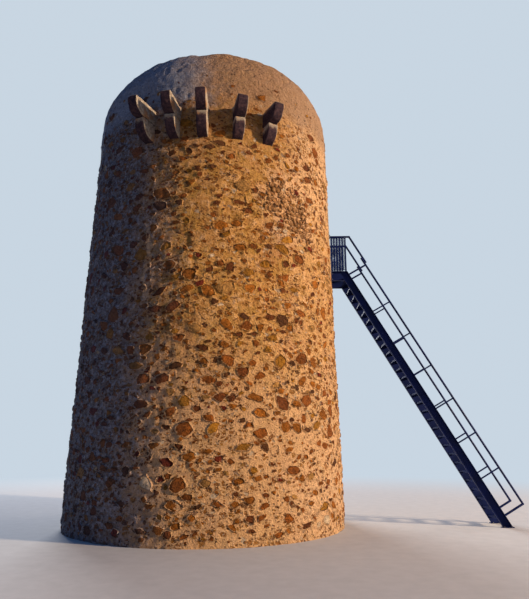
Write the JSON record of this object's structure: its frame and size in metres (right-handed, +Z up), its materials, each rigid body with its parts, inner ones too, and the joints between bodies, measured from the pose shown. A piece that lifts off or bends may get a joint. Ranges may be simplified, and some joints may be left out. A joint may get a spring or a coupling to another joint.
{
  "type": "round coastal watchtower with steel access stair",
  "caption": "Round, slightly tapering rubble-masonry watchtower with corbels below its parapet and a steep steel stair to a raised doorway.",
  "frame": {"origin": "on the tower's axis, at the lowest ground it meets", "axes": "+Z up, +X out along the stair from the doorway, -Y the side of the corbels"},
  "size_m": [12.4403, 8.2737, 12.7],
  "materials": {
    "rubble": "rubble stones in pink-brown lime mortar",
    "dressed_stone": "weathered dressed stone",
    "paving": "worn lime and brick paving",
    "dark_steel": "dark paint, satin"
  },
  "bodies": {
    "root": {"base_drum": "rubble", "chamber_floor": "paving", "chamber_wall_1": "rubble", "chamber_wall_2": "rubble", "chamber_wall_3": "rubble", "chamber_wall_4": "rubble", "chamber_wall_5": "rubble", "chamber_wall_6": "rubble", "wall_left_of_door": "rubble", "wall_right_of_door": "rubble", "wall_over_door": "rubble", "vault_haunch": "rubble", "vault_crown": "rubble", "terrace_floor": "paving", "parapet_1": "rubble", "parapet_2": "rubble", "parapet_3": "rubble", "parapet_4": "rubble", "parapet_5": "rubble", "parapet_6": "rubble", "parapet_7": "rubble", "parapet_8": "rubble", "corbel_upper_1": "dressed_stone", "corbel_upper_2": "dressed_stone", "corbel_upper_3": "dressed_stone", "corbel_upper_4": "dressed_stone", "corbel_upper_5": "dressed_stone", "corbel_lower_1": "dressed_stone", "corbel_lower_2": "dressed_stone", "corbel_lower_3": "dressed_stone", "corbel_lower_4": "dressed_stone", "corbel_lower_5": "dressed_stone", "door_threshold": "dressed_stone", "door_jambs": "dressed_stone", "door_lintel": "dressed_stone", "stair_stringer_left": "dark_steel", "stair_stringer_right": "dark_steel", "stair_treads": "dark_steel", "stair_foot_plates": "dark_steel", "landing_frame": "dark_steel", "landing_deck": "dark_steel", "landing_anchor_plates": "dark_steel", "landing_guard_left": "dark_steel", "landing_guard_right": "dark_steel", "stair_rail_left": "dark_steel", "stair_rail_right": "dark_steel"}
  },
  "joints": []
}
